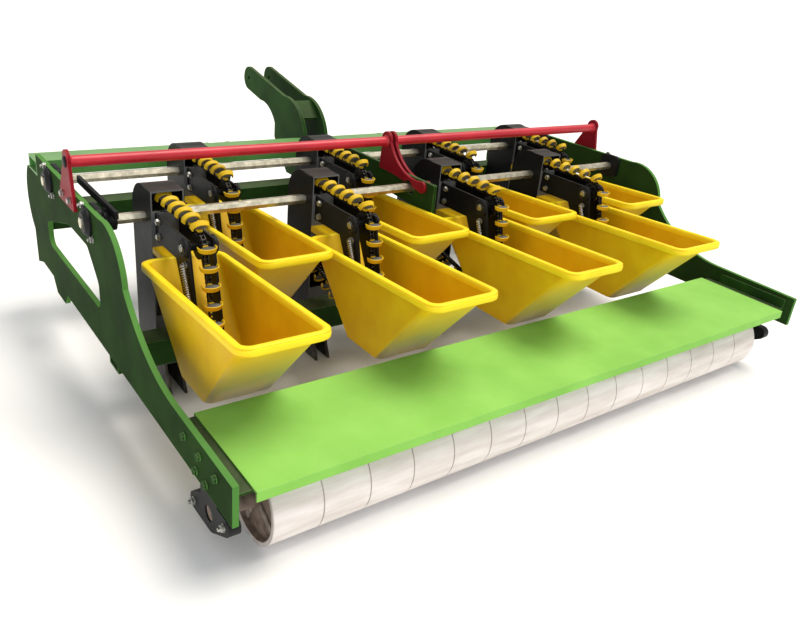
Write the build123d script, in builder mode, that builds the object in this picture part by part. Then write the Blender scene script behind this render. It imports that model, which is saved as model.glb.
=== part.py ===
"""Tractor-mounted garlic planter with eight cup-chain planting units in two staggered rows.

Frame: +Y is the way the planter travels, +X its right side, +Z up, the floor at Z = 0.
All sizes are in millimetres.
"""

import os
from math import pi

from build123d import *

os.makedirs("parts", exist_ok=True)

# Fits
fit_gap = 0.3
running_gap = 0.05
end_gap = 4
shaft_gap = 1

# Planting units: two rows, staggered by half the pitch
unit_pitch = 518
units_per_row = 4
row_step = 420
shaft_height = 561
row_half = (units_per_row - 1) * unit_pitch / 2
stagger = unit_pitch / 4

# Side plates, set off from the outer units
side_room = 188.5
plate_gap = 2 * (row_half + stagger + side_room)
plate_thickness = 15
plate_x = plate_gap / 2 + plate_thickness / 2
plate_rise = 41
arm_bottom = 200
arm_height = 105

# Press roller under the footboard
roller_radius = 115
roller_end_gap = 105
roller_length = plate_gap - 2 * roller_end_gap
roller_wall = 12
roller_ring = 132
roller_groove = 3
axle_radius = 20

# Footboard over the roller
board_end_gap = 45
board_length = plate_gap - 2 * board_end_gap
board_depth = 340
board_sheet = 6
board_lip = 26
board_inset = 10
roller_gap = 26
board_top = 2 * roller_radius + roller_gap + board_sheet
tie_size = 50
tie_wall = 5
tie_gap = 19
bracket_leg = 82
bracket_rise = 30
bracket_inset = 14
bracket_sheet = 6

# Hex drive shafts in flange bearings
shaft_flats = 27
shaft_reach = 22
bearing_size = 92
bearing_corner = 20
bearing_depth = 26
plate_bore = 26

# Cup chain: sprocket centres measured from the hex shaft, y then z
top_sprocket_radius = 40
idler_radius = 30
rear_sprocket = (-278, 0)
idler = (-352, -286)
foot_sprocket = (0, -190)
link_length = 24
chain_thickness = 8
chain_width = 14
sprocket_width = 10
cup_pitch = 50
cup_width = 48
cup_reach = 34
cup_depth = 22
cup_wall = 5
pin_radius = 10

# Side cheeks that carry the rear sprocket and the idler
cheek_thickness = 6
cup_side_gap = 7
cheek_gap = cup_width + 2 * cup_side_gap
cheek_eye = 18
cheek_rise = 25
cheek_leg = 88
cheek_lift = 4

# Drop tube round the falling run of the chain
tube_side_gap = 11
tube_width = cheek_gap + 2 * cheek_thickness + 2 * tube_side_gap
tube_rear = -55
tube_front = 106
tube_wall = 4
tube_bottom = 95
hood_rise = 86
hood_crown_run = 50
hood_brow_drop = 72
mouth_sill = 25
return_window = 130

# Hopper
hopper_drop = 58
hopper_depth = 258
hopper_top = shaft_height - hopper_drop
hopper_bottom = hopper_top - hopper_depth
hopper_wall = 6
hopper_gap = 20
rim_height = 18
rim_width = 12
rim_rear = -784
rim_front = -143
rim_tilt = 3.1
mouth_width = unit_pitch / 2 - hopper_gap
throat_rear = -540
throat_front = -360
throat_gap = 43
hopper_corner = 24
slot_gap = 9
slot_width = cheek_gap + 2 * cheek_thickness + slot_gap
throat_wall = 54
throat_width = slot_width + 2 * throat_wall

# Furrow opener under each drop tube
opener_width = 56
opener_wall = 8
opener_nose = 165
opener_nose_height = 60
opener_heel = -95

# Beams
front_beam_depth = 110
front_beam_height = 50
front_beam_wall = 6
front_beam_drop = 33
front_beam_bottom = shaft_height - front_beam_drop
beam_gap = 66
toolbar_size = 80
toolbar_wall = 6
rear_bar_seat = 25
front_bar_drop = 121

# Hitch, category 2: mast height 610 between the lower pins and the top-link hole
mast_gap = 86
mast_plate = 14
eye_radius = 50
top_pin_radius = 12.8
top_pin_reach = 500
top_pin_rise = 157
mast_height = 610
mast_skirt = 130
brace_length = 90
brace_sheet = 12
brace_angle = 40
lower_pin_radius = 14.35
lower_pin_reach = 160
lower_span = 825
lower_ear_gap = 70
lower_ear = 18
ear_radius = 45
ear_web = 16

# Red guard bars over the cup chains
bar_radius = 24
bar_rise = 136
bar_gap = 23
bar_plate = 10
centre_plate = 12
arm_tip = 20
arm_reach = 75

# Places along the machine, counted forward from the side plates' rear ends
rear_shaft_run = board_inset + board_depth + throat_gap - throat_rear
front_beam_run = rear_shaft_run + row_step + tube_front + beam_gap + front_beam_depth / 2
machine_length = front_beam_run + front_beam_depth / 2 + top_pin_reach + eye_radius
rear_end = -machine_length / 2
board_y = rear_end + board_inset
tie_y = board_y + board_depth - board_sheet - tie_size / 2
roller_y = tie_y - tie_size / 2 - tie_gap - roller_radius
rear_shaft_y = rear_end + rear_shaft_run
front_shaft_y = rear_shaft_y + row_step
front_beam_y = rear_end + front_beam_run
beam_rear = front_beam_y - front_beam_depth / 2
beam_front = front_beam_y + front_beam_depth / 2
beam_top = front_beam_bottom + front_beam_height
top_pin_y = beam_front + top_pin_reach
top_pin_z = beam_top + top_pin_rise
lower_pin_y = beam_front + lower_pin_reach
lower_pin_z = top_pin_z - mast_height
bar_y = rear_shaft_y + tube_front + bar_gap + bar_radius
bar_z = shaft_height + bar_rise

shaft_rows = {"rear": rear_shaft_y, "front": front_shaft_y}
row_x = {
    "rear": [-row_half - stagger + i * unit_pitch for i in range(units_per_row)],
    "front": [-row_half + stagger + i * unit_pitch for i in range(units_per_row)],
}
sides = {"left": -1, "right": 1}


def save(piece, name):
    """Label one finished piece and write it as its own file."""
    piece.part.label = name
    export_step(piece.part, f"parts/{name}.step")


def slab(x_centre, thickness):
    """Plane parallel to YZ where a plate of this thickness, centred on x_centre, starts."""
    return Plane.YZ.offset(x_centre - thickness / 2)


# Side plates: laser-cut, with a rear arm to the roller, a foot under the front row and a long window
arm_top = arm_bottom + arm_height
plate_top = shaft_height + plate_rise
foot_half = 90
foot_slope = 40
foot_drop = 45
nose_reach = 80
nose_drop = 25
nose_top = arm_top - 5
nose_lip = 35
nose_bulge = 140
shoulder = (rear_shaft_y - 103, plate_top)
shoulder_mid = (rear_shaft_y - 221, plate_top - 27)
elbow = (rear_shaft_y - 278, plate_top - 132)
sweep_mid = (rear_shaft_y - 413, arm_top + 57)
wrist = (rear_shaft_y - 623, arm_top + 7)
nose = (front_beam_y + nose_reach, nose_top)
nose_mid = (front_beam_y + nose_bulge, (nose_top + front_beam_bottom) / 2)
nose_end = (beam_front + nose_lip, front_beam_bottom)
window_rear = rear_shaft_y - 58
window_front = front_shaft_y + 87
window_low = arm_top + 13
window_high = shaft_height - 81
window_mid = (window_low + window_high) / 2
window_corner = min(30, (window_high - window_low) / 5)
for side, sign in sides.items():
    with BuildPart() as side_plate:
        with BuildSketch(slab(sign * plate_x, plate_thickness)):
            with BuildLine():
                Polyline(
                    wrist,
                    (rear_end, arm_top),
                    (rear_end, arm_bottom),
                    (front_shaft_y - foot_half, arm_bottom),
                    (front_shaft_y - foot_half + foot_slope, arm_bottom - foot_drop),
                    (front_shaft_y + foot_half - foot_slope, arm_bottom - foot_drop),
                    (front_shaft_y + foot_half, arm_bottom),
                    (front_beam_y, arm_bottom),
                    (front_beam_y + nose_reach, arm_bottom - nose_drop),
                    nose,
                )
                ThreePointArc(nose, nose_mid, nose_end)
                Polyline(nose_end, (beam_rear, front_beam_bottom), (beam_rear, plate_top), shoulder)
                ThreePointArc(shoulder, shoulder_mid, elbow)
                ThreePointArc(elbow, sweep_mid, wrist)
            make_face()
            with BuildSketch(mode=Mode.PRIVATE) as window:
                with BuildLine():
                    Polyline(
                        (window_rear, window_low),
                        (window_front, window_low),
                        (window_front, window_mid),
                        ((window_rear + window_front) / 2, window_high),
                        (window_rear + bearing_size, window_high),
                        (window_rear, window_mid),
                        close=True,
                    )
                make_face()
                fillet(window.vertices(), window_corner)
            add(window.sketch, mode=Mode.SUBTRACT)
            with Locations(*[(y, shaft_height) for y in shaft_rows.values()]):
                Circle(plate_bore, mode=Mode.SUBTRACT)
        extrude(amount=plate_thickness)
    save(side_plate, f"side_plate_{side}")

# Press roller: a ringed tube with recessed end discs on stub axles
ring_count = round(roller_length / roller_ring)
ring_step = roller_length / ring_count
end_recess = 22
end_disc = 10
axle_end = plate_gap / 2 - end_gap
with BuildPart() as roller:
    with BuildSketch(slab(0, roller_length)):
        with Locations((roller_y, roller_radius)):
            Circle(roller_radius)
            Circle(roller_radius - roller_wall, mode=Mode.SUBTRACT)
    extrude(amount=roller_length)
    for sign in sides.values():
        with BuildSketch(slab(sign * (roller_length / 2 - end_recess), end_disc)):
            with Locations((roller_y, roller_radius)):
                Circle(roller_radius - roller_wall / 2)
        extrude(amount=end_disc)
    with BuildSketch(slab(0, 2 * axle_end)):
        with Locations((roller_y, roller_radius)):
            Circle(axle_radius)
    extrude(amount=2 * axle_end)
    for i in range(1, ring_count):
        with BuildSketch(slab(-roller_length / 2 + i * ring_step, roller_groove)):
            with Locations((roller_y, roller_radius)):
                Circle(roller_radius)
                Circle(roller_radius - roller_groove, mode=Mode.SUBTRACT)
        extrude(amount=roller_groove, mode=Mode.SUBTRACT)
save(roller, "press_roller")

# Two-lobed bearings that hang the roller's axle inside the arms
flange_lobe = 88
lobe_radius = 24
flange_depth = 30
flange_tilt = -16
flange_seat = 40
flange_hub = axle_radius + 26
for side, sign in sides.items():
    face = sign * (plate_gap / 2 - flange_depth / 2)
    with BuildPart() as roller_bearing:
        with BuildSketch(slab(face, flange_depth)):
            with Locations((roller_y, roller_radius)):
                Circle(flange_hub)
                with PolarLocations(flange_lobe, 2, start_angle=flange_tilt):
                    Circle(lobe_radius)
            make_hull()
            with Locations((roller_y, roller_radius)):
                Rectangle(
                    2 * flange_hub,
                    arm_bottom + flange_seat - roller_radius,
                    align=(Align.CENTER, Align.MIN),
                )
                Circle(axle_radius + running_gap, mode=Mode.SUBTRACT)
        extrude(amount=flange_depth)
    save(roller_bearing, f"roller_bearing_{side}")

# Footboard: a folded sheet with lips, on a tie tube and two end brackets
with BuildPart() as footboard:
    with BuildSketch(slab(0, board_length)):
        with BuildLine():
            Polyline(
                (board_y, board_top),
                (board_y + board_depth, board_top),
                (board_y + board_depth, board_top - board_lip),
                (board_y + board_depth - board_sheet, board_top - board_lip),
                (board_y + board_depth - board_sheet, board_top - board_sheet),
                (board_y + board_sheet, board_top - board_sheet),
                (board_y + board_sheet, board_top - board_lip),
                (board_y, board_top - board_lip),
                close=True,
            )
        make_face()
    extrude(amount=board_length)
save(footboard, "footboard")

tie_z = board_top - board_sheet - tie_size / 2
with BuildPart() as tie_tube:
    with BuildSketch(slab(0, plate_gap)):
        with Locations((tie_y, tie_z)):
            Rectangle(tie_size, tie_size)
            Rectangle(tie_size - 2 * tie_wall, tie_size - 2 * tie_wall, mode=Mode.SUBTRACT)
    extrude(amount=plate_gap)
save(tie_tube, "rear_tie_tube")

bracket_front = tie_y - tie_size / 2
bracket_rear = board_y + board_sheet + bracket_inset
bracket_seat = board_top - board_sheet
for side, sign in sides.items():
    with BuildPart() as bracket:
        with BuildSketch(Plane.XZ.offset(-bracket_front)):
            with BuildLine():
                Polyline(
                    (sign * plate_gap / 2, board_top + bracket_rise),
                    (sign * plate_gap / 2, bracket_seat - bracket_sheet),
                    (sign * (plate_gap / 2 - bracket_leg), bracket_seat - bracket_sheet),
                    (sign * (plate_gap / 2 - bracket_leg), bracket_seat),
                    (sign * (plate_gap / 2 - bracket_sheet), bracket_seat),
                    (sign * (plate_gap / 2 - bracket_sheet), board_top + bracket_rise),
                    close=True,
                )
            make_face()
        extrude(amount=bracket_front - bracket_rear)
    save(bracket, f"board_bracket_{side}")

# Front beam on the plates' shoulders; toolbars between the plates, one for each row of tubes
beam_length = plate_gap + 2 * plate_thickness
rear_bar_y = rear_shaft_y + tube_rear - toolbar_size
rear_bar_top = arm_bottom + rear_bar_seat
front_bar_y = front_shaft_y + tube_front
front_bar_top = shaft_height - front_bar_drop
tubes = {
    "front_beam": (beam_rear, beam_top, front_beam_depth, front_beam_height, front_beam_wall, beam_length),
    "toolbar_rear": (rear_bar_y, rear_bar_top, toolbar_size, toolbar_size, toolbar_wall, plate_gap),
    "toolbar_front": (front_bar_y, front_bar_top, toolbar_size, toolbar_size, toolbar_wall, plate_gap),
}
for name, (y, top, depth, height, wall, length) in tubes.items():
    with BuildPart() as beam:
        with BuildSketch(slab(0, length)):
            with Locations((y + depth / 2, top - height / 2)):
                Rectangle(depth, height)
                Rectangle(depth - 2 * wall, height - 2 * wall, mode=Mode.SUBTRACT)
        extrude(amount=length)
    save(beam, name)

# Hitch mast: two plates bent forward, with a brace between them, standing on and before the front beam;
# the outline is counted forward and up from the beam's front top edge
mast_outline = {
    "heel": (-28, 0),
    "back": (45, 110),
    "neck": (165, 140),
    "jaw": (380, 82),
    "throat": (280, 54),
    "chin": (240, 10),
    "toe": (120, -front_beam_height - mast_skirt),
    "brace": (80, 95),
}
spot = {name: (beam_front + run, beam_top + rise) for name, (run, rise) in mast_outline.items()}
eye_slip = eye_radius / 5
eye_edge = (eye_radius**2 - eye_slip**2) ** 0.5
with BuildPart() as mast:
    for sign in sides.values():
        with BuildSketch(slab(sign * (mast_gap + mast_plate) / 2, mast_plate)):
            with BuildLine():
                Polyline(
                    spot["heel"],
                    (beam_front, beam_top),
                    (beam_front, spot["toe"][1]),
                    spot["toe"],
                    (spot["chin"][0], front_beam_bottom),
                    spot["chin"],
                )
                ThreePointArc(spot["chin"], spot["throat"], spot["jaw"])
                Polyline(
                    spot["jaw"],
                    (top_pin_y + eye_slip, top_pin_z - eye_edge),
                    (top_pin_y - eye_slip, top_pin_z + eye_edge),
                    spot["neck"],
                )
                ThreePointArc(spot["neck"], spot["back"], spot["heel"])
            make_face()
            with Locations((top_pin_y, top_pin_z)):
                Circle(eye_radius)
                Circle(top_pin_radius, mode=Mode.SUBTRACT)
        extrude(amount=mast_plate)
    with BuildSketch(slab(0, mast_gap)):
        with Locations(spot["brace"]):
            Rectangle(brace_length, brace_sheet, rotation=brace_angle)
    extrude(amount=mast_gap)
save(mast, "hitch_mast")

# Lower hitch: a pair of ears with a bore on each side, welded to the beam's front face
ear_top = beam_top - 10
for side, sign in sides.items():
    with BuildPart() as lower_hitch:
        for edge in sides.values():
            ear_x = sign * lower_span / 2 + edge * (lower_ear_gap + lower_ear) / 2
            with BuildSketch(slab(ear_x, lower_ear)):
                with BuildLine():
                    Polyline(
                        (beam_front, ear_top),
                        (beam_front, front_beam_bottom),
                        (lower_pin_y - ear_radius, lower_pin_z),
                        (lower_pin_y + ear_radius, lower_pin_z),
                        (lower_pin_y + ear_radius, lower_pin_z + 2 * ear_radius),
                        (beam_front + ear_radius, ear_top),
                        close=True,
                    )
                make_face()
                with Locations((lower_pin_y, lower_pin_z)):
                    Circle(ear_radius)
                    Circle(lower_pin_radius, mode=Mode.SUBTRACT)
            extrude(amount=lower_ear)
        with BuildSketch(slab(sign * lower_span / 2, lower_ear_gap)):
            with Locations((beam_front, front_beam_bottom + front_beam_height / 2)):
                Rectangle(ear_web, front_beam_height - 2 * ear_web, align=(Align.MIN, Align.CENTER))
        extrude(amount=lower_ear_gap)
    save(lower_hitch, f"lower_hitch_{side}")

# Centre plate between the beam and the rear toolbar, where the guard bars meet
centre_drop = 60
centre_low = shaft_height - centre_drop
with BuildPart() as centre:
    with BuildSketch(slab(0, centre_plate)):
        with BuildLine():
            Polyline(
                (beam_rear, plate_top),
                (rear_bar_y, plate_top),
                (rear_bar_y, rear_bar_top),
                (rear_bar_y + toolbar_size, rear_bar_top),
                (rear_bar_y + toolbar_size, centre_low),
                (beam_rear, front_beam_bottom),
                close=True,
            )
        make_face()
        with Locations(*[(y, shaft_height) for y in shaft_rows.values()]):
            Circle(plate_bore, mode=Mode.SUBTRACT)
    extrude(amount=centre_plate)
save(centre, "centre_plate")

# Guard bars: a tube between an outer foot plate and an inner banana-shaped arm
outer_face = plate_gap / 2 + plate_thickness
inner_face = centre_plate / 2
bar_length = outer_face - inner_face - bar_plate
bar_collar = bar_radius + 4
foot_low = shaft_height - 4
foot_rear = bar_y - 50
foot_front = bar_y + 110
arm_heel = (bar_y + 30, shaft_height + 25)
arm_belly = (bar_y - 90, shaft_height + arm_tip)
arm_end_y = rear_shaft_y - arm_reach
arm_back = (bar_y - 80, shaft_height + 70)
for side, sign in sides.items():
    with BuildPart() as guard_tube:
        with BuildSketch(slab(sign * (outer_face + inner_face + bar_plate) / 2, bar_length)):
            with Locations((bar_y, bar_z)):
                Circle(bar_radius)
        extrude(amount=bar_length)
    save(guard_tube, f"guard_tube_{side}")
    with BuildPart() as guard_foot:
        with BuildSketch(slab(sign * (outer_face + bar_plate / 2), bar_plate)):
            with BuildLine():
                Polyline(
                    (bar_y - bar_radius, bar_z),
                    (foot_rear, foot_low),
                    (foot_front, foot_low),
                    (bar_y + bar_radius, bar_z),
                    close=True,
                )
            make_face()
            with Locations((bar_y, bar_z)):
                Circle(bar_collar)
        extrude(amount=bar_plate)
    save(guard_foot, f"guard_foot_{side}")
    with BuildPart() as guard_arm:
        with BuildSketch(slab(sign * (inner_face + bar_plate / 2), bar_plate)):
            with BuildLine():
                Polyline((bar_y - bar_radius, bar_z), (bar_y + bar_radius, bar_z), arm_heel)
                ThreePointArc(arm_heel, arm_belly, (arm_end_y, shaft_height))
                Line((arm_end_y, shaft_height), (arm_end_y, shaft_height + 2 * arm_tip))
                ThreePointArc(
                    (arm_end_y, shaft_height + 2 * arm_tip), arm_back, (bar_y - bar_radius, bar_z)
                )
            make_face()
            with Locations((bar_y, bar_z)):
                Circle(bar_collar)
            with Locations((arm_end_y, shaft_height + arm_tip)):
                Circle(arm_tip)
            with Locations((rear_shaft_y, shaft_height)):
                Circle(plate_bore, mode=Mode.SUBTRACT)
        extrude(amount=bar_plate)
    save(guard_arm, f"guard_arm_{side}")

# Hex drive shafts and the flange bearings that carry them on the side plates
shaft_radius = shaft_flats / 3**0.5
shaft_length = plate_gap + 2 * plate_thickness + 2 * shaft_reach
for row, shaft_y in shaft_rows.items():
    with BuildPart() as drive_shaft:
        with BuildSketch(slab(0, shaft_length)):
            with Locations((shaft_y, shaft_height)):
                RegularPolygon(shaft_radius, 6)
        extrude(amount=shaft_length)
    save(drive_shaft, f"drive_shaft_{row}")
    with BuildPart() as bearings:
        for sign in sides.values():
            x_flange = sign * (plate_gap / 2 - bearing_depth / 4)
            with BuildSketch(slab(x_flange, bearing_depth / 2)):
                with Locations((shaft_y, shaft_height)):
                    RectangleRounded(bearing_size, bearing_size, bearing_corner)
                    RegularPolygon(shaft_radius + fit_gap, 6, mode=Mode.SUBTRACT)
            extrude(amount=bearing_depth / 2)
            x_boss = sign * (plate_gap / 2 + plate_thickness / 2)
            with BuildSketch(slab(x_boss, plate_thickness)):
                with Locations((shaft_y, shaft_height)):
                    Circle(plate_bore - fit_gap)
                    RegularPolygon(shaft_radius + fit_gap, 6, mode=Mode.SUBTRACT)
            extrude(amount=plate_thickness)
    save(bearings, f"shaft_bearings_{row}")

# Planting unit, modelled once about its own shaft: x from the unit's middle, y from the shaft
half_chain = chain_thickness / 2
idler_z = shaft_height + idler[1]
foot_z = shaft_height + foot_sprocket[1]
rear_z = shaft_height + rear_sprocket[1]
wheels = {
    "drive": (0, shaft_height, top_sprocket_radius),
    "rear": (rear_sprocket[0], rear_z, top_sprocket_radius),
    "idler": (idler[0], idler_z, idler_radius),
    "foot": (foot_sprocket[0], foot_z, top_sprocket_radius),
}

with BuildPart() as unit_sprockets:
    with BuildSketch(slab(0, sprocket_width)):
        for wheel, (y, z, radius) in wheels.items():
            with Locations((y, z)):
                Circle(radius - half_chain - fit_gap)
                if wheel == "drive":
                    RegularPolygon(shaft_radius + fit_gap, 6, mode=Mode.SUBTRACT)
                else:
                    Circle(pin_radius + fit_gap, mode=Mode.SUBTRACT)
    extrude(amount=sprocket_width)

# Chain loop of straight links, with a cup at each pitch wherever it runs outside the drop tube
with BuildPart() as unit_chain:
    with BuildSketch(slab(0, chain_width)) as chain_outer:
        for y, z, radius in wheels.values():
            with Locations((y, z)):
                links = round(2 * pi * radius / link_length)
                RegularPolygon(radius + half_chain, links, major_radius=False)
        make_hull()
    extrude(amount=chain_width)
    with BuildSketch(slab(0, chain_width)):
        for y, z, radius in wheels.values():
            with Locations((y, z)):
                links = round(2 * pi * radius / link_length)
                RegularPolygon(radius - half_chain, links, major_radius=False)
        make_hull()
    extrude(amount=chain_width, mode=Mode.SUBTRACT)
    loop_line = chain_outer.sketch.face().outer_wire()
    loop_centre = chain_outer.sketch.face().center()
    for i in range(int(loop_line.length / cup_pitch)):
        here = loop_line.position_at(i * cup_pitch, position_mode=PositionMode.LENGTH)
        along = loop_line.tangent_at(i * cup_pitch, position_mode=PositionMode.LENGTH)
        outward = Vector(0, along.Z, -along.Y)
        if outward.dot(here - loop_centre) < 0:
            outward = -outward
        if here.Y > tube_rear:
            continue
        cup_plane = Plane(origin=(cup_width / 2, here.Y, here.Z), x_dir=outward, z_dir=(-1, 0, 0))
        with BuildSketch(cup_plane):
            with BuildLine():
                Polyline(
                    (-half_chain, 0),
                    (cup_reach, cup_wall),
                    (cup_reach, cup_depth),
                    (cup_reach - cup_wall, cup_depth),
                    (cup_reach - 2 * cup_wall, 2 * cup_wall),
                    (-half_chain, 2 * cup_wall),
                    close=True,
                )
            make_face()
        extrude(amount=cup_width)

# Drop tube: a sheet-metal duct with a rounded hood, open behind where the chain runs in and out
tube_mid = (tube_rear + tube_front) / 2
tube_depth = tube_front - tube_rear
hood_top = shaft_height + hood_rise
hood_front = (tube_front, hood_top - hood_brow_drop)
hood_crown = (tube_rear + hood_crown_run, hood_top)
hood_brow = (tube_front - hood_brow_drop / 3, hood_top - hood_brow_drop / 3)
with BuildPart() as unit_tube:
    for wall, mode in ((0, Mode.ADD), (tube_wall, Mode.SUBTRACT)):
        with BuildSketch(slab(0, tube_width - 2 * wall)):
            with BuildLine():
                Polyline(
                    hood_crown,
                    (tube_rear, hood_top),
                    (tube_rear, tube_bottom),
                    (tube_front, tube_bottom),
                    hood_front,
                )
                ThreePointArc(hood_front, hood_brow, hood_crown)
            make_face()
            if wall:
                offset(amount=-wall, kind=Kind.INTERSECTION, mode=Mode.REPLACE)
                with Locations((tube_mid, tube_bottom)):
                    Rectangle(tube_depth - 2 * wall, 4 * wall)
                with Locations((tube_rear, shaft_height + mouth_sill)):
                    Rectangle(4 * wall, hood_rise - mouth_sill - wall, align=(Align.CENTER, Align.MIN))
                with Locations((tube_rear, foot_z - top_sprocket_radius)):
                    Rectangle(4 * wall, return_window)
        extrude(amount=tube_width - 2 * wall, mode=mode)
    with BuildSketch(slab(0, tube_width)):
        with Locations((0, shaft_height)):
            Circle(shaft_radius + shaft_gap)
    extrude(amount=tube_width, mode=Mode.SUBTRACT)
    with BuildSketch(slab(0, tube_width)):
        with Locations((0, foot_z)):
            Circle(pin_radius)
    extrude(amount=tube_width)

# Hopper: a moulded funnel with a tilted rim, a slot in its throat for the chain and a tongue to the tube
mouth_mid = (rim_rear + rim_front) / 2
mouth_length = rim_front - rim_rear
throat_mid = (throat_rear + throat_front) / 2
throat_length = throat_front - throat_rear
mouth = Plane((0, mouth_mid, hopper_top), x_dir=(1, 0, 0), z_dir=(0, 0, 1)).rotated((-rim_tilt, 0, 0))
tongue_top = hopper_top - rim_height
inset = 2 * hopper_wall
inner_corner = hopper_corner - hopper_wall
cup_sweep = half_chain + cup_reach + slot_gap
idler_at = Vector(idler[0], idler_z)
foot_at = Vector(foot_sprocket[0], foot_z)
run = (foot_at - idler_at).normalized()
below = Vector(run.Y, -run.X)
with BuildPart() as unit_hopper:
    with BuildSketch(Plane.XY.offset(hopper_bottom)):
        with Locations((0, throat_mid)):
            RectangleRounded(throat_width, throat_length, hopper_corner)
    with BuildSketch(mouth):
        RectangleRounded(mouth_width - 2 * rim_width, mouth_length - 2 * rim_width, hopper_corner)
    loft(ruled=True)
    with BuildSketch(mouth):
        RectangleRounded(mouth_width, mouth_length, hopper_corner + rim_width)
    extrude(amount=-rim_height)
    with BuildSketch(Plane.XZ.offset(-tube_rear)):
        with Locations((0, tongue_top)):
            Rectangle(tube_width, rim_height, align=(Align.CENTER, Align.MAX))
    extrude(amount=tube_rear - rim_front + rim_width)
    with BuildSketch(Plane.XY.offset(hopper_bottom + hopper_wall)):
        with Locations((0, throat_mid)):
            RectangleRounded(throat_width - inset, throat_length - inset, inner_corner)
    with BuildSketch(mouth):
        RectangleRounded(
            mouth_width - 2 * rim_width - inset, mouth_length - 2 * rim_width - inset, inner_corner
        )
    loft(ruled=True, mode=Mode.SUBTRACT)
    with BuildSketch(slab(0, slot_width)):
        with Locations((idler[0], idler_z)):
            Circle(idler_radius + cup_sweep)
        with BuildLine():
            Polyline(
                idler_at,
                foot_at,
                foot_at + below * (top_sprocket_radius + cup_sweep),
                idler_at + below * (idler_radius + cup_sweep),
                close=True,
            )
        make_face()
    extrude(amount=slot_width, mode=Mode.SUBTRACT)

# Cheeks: two cut plates joined by the pins of the rear sprocket and the idler
cheek_low = hopper_top + cheek_lift
cheek_high = shaft_height + cheek_rise
with BuildPart() as unit_cheeks:
    for sign in sides.values():
        with BuildSketch(slab(sign * (cheek_gap + cheek_thickness) / 2, cheek_thickness)):
            with BuildLine():
                Polyline(
                    (tube_rear, cheek_high),
                    (tube_rear, cheek_low),
                    (rear_sprocket[0] - cheek_eye + cheek_leg, cheek_low),
                    (idler[0] + cheek_eye, idler_z),
                    (idler[0] - cheek_eye, idler_z),
                    (rear_sprocket[0] - cheek_eye, cheek_high),
                    close=True,
                )
            make_face()
            with Locations((idler[0], idler_z)):
                Circle(cheek_eye)
        extrude(amount=cheek_thickness)
    with BuildSketch(slab(0, cheek_gap)):
        with Locations((idler[0], idler_z), (rear_sprocket[0], rear_z)):
            Circle(pin_radius)
    extrude(amount=cheek_gap)

# Furrow opener: a boot with a solid nose, open behind and below
with BuildPart() as unit_opener:
    with BuildSketch(slab(0, opener_width)):
        with BuildLine():
            Polyline(
                (tube_rear, tube_bottom),
                (tube_front, tube_bottom),
                (opener_nose, opener_nose_height),
                (tube_front, 0),
                (opener_heel, 0),
                close=True,
            )
        make_face()
    extrude(amount=opener_width)
    with BuildSketch(slab(0, opener_width - 2 * opener_wall)):
        with Locations((tube_front - opener_wall, 0)):
            Rectangle(2 * (tube_front - opener_heel), 4 * tube_bottom, align=(Align.MAX, Align.CENTER))
    extrude(amount=opener_width - 2 * opener_wall, mode=Mode.SUBTRACT)

# Eight units: tubes and hoppers as single pieces, the rest grouped by row
grouped = {
    "sprockets": unit_sprockets,
    "cup_chains": unit_chain,
    "unit_cheeks": unit_cheeks,
    "furrow_openers": unit_opener,
}
single = {"drop_tube": unit_tube, "hopper": unit_hopper}
for row, shaft_y in shaft_rows.items():
    places = [(x, shaft_y, 0) for x in row_x[row]]
    for name, unit in grouped.items():
        with BuildPart() as piece:
            with Locations(*places):
                add(unit.part)
        save(piece, f"{name}_{row}")
    for name, unit in single.items():
        for number, place in enumerate(places, 1):
            with BuildPart() as piece:
                with Locations(place):
                    add(unit.part)
            save(piece, f"{name}_{row}_{number}")
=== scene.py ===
from math import cos, pi, radians, sin

import bmesh
import bpy
import numpy as np
from mathutils import Matrix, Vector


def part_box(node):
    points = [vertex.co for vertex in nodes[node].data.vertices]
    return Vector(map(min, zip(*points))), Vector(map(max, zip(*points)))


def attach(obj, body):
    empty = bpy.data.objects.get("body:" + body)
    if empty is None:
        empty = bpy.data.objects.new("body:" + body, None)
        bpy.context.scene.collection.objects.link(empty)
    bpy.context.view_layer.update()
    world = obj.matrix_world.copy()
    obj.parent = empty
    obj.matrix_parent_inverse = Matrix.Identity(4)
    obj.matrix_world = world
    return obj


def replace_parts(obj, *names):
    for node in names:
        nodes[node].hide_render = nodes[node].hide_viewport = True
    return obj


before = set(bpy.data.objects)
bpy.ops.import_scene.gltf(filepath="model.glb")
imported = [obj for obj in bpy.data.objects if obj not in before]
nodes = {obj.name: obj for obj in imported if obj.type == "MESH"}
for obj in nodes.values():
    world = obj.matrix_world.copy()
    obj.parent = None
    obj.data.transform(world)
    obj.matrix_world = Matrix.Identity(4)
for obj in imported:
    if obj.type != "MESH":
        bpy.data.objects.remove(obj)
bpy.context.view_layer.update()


# Side plates, beams and hitch: laser-cut and welded steel, sprayed green; the dark green is painted shade
# and the lighter front beam is painted light.
# Sprayed enamel is a little cloudy and has fine orange peel; its edges are lightened as a painted highlight.
def srgb(code):
    """Linear RGBA of an sRGB hex colour, by the sRGB curve: c / 12.92, or ((c + 0.055) / 1.055) ** 2.4."""
    c = np.array([int(code[i:i + 2], 16) for i in (1, 3, 5)]) / 255
    linear = np.where(c <= 0.04045, c / 12.92, ((c + 0.055) / 1.055) ** 2.4)
    return (*linear.tolist(), 1.0)


def add_node(tree, kind, links=None, values=None, ramp=None, **settings):
    """One node in a material: its settings, its fixed socket values, its colour stops and what feeds it."""
    node = tree.nodes.new(kind)
    for name, value in settings.items():
        setattr(node, name, value)
    for socket, value in (values or {}).items():
        node.inputs[socket].default_value = value
    for socket, source in (links or {}).items():
        tree.links.new(source, node.inputs[socket])
    for stop, (place, colour) in zip(node.color_ramp.elements if ramp else (), ramp or ()):
        stop.position = place
        stop.color = srgb(colour)
    return node


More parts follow.
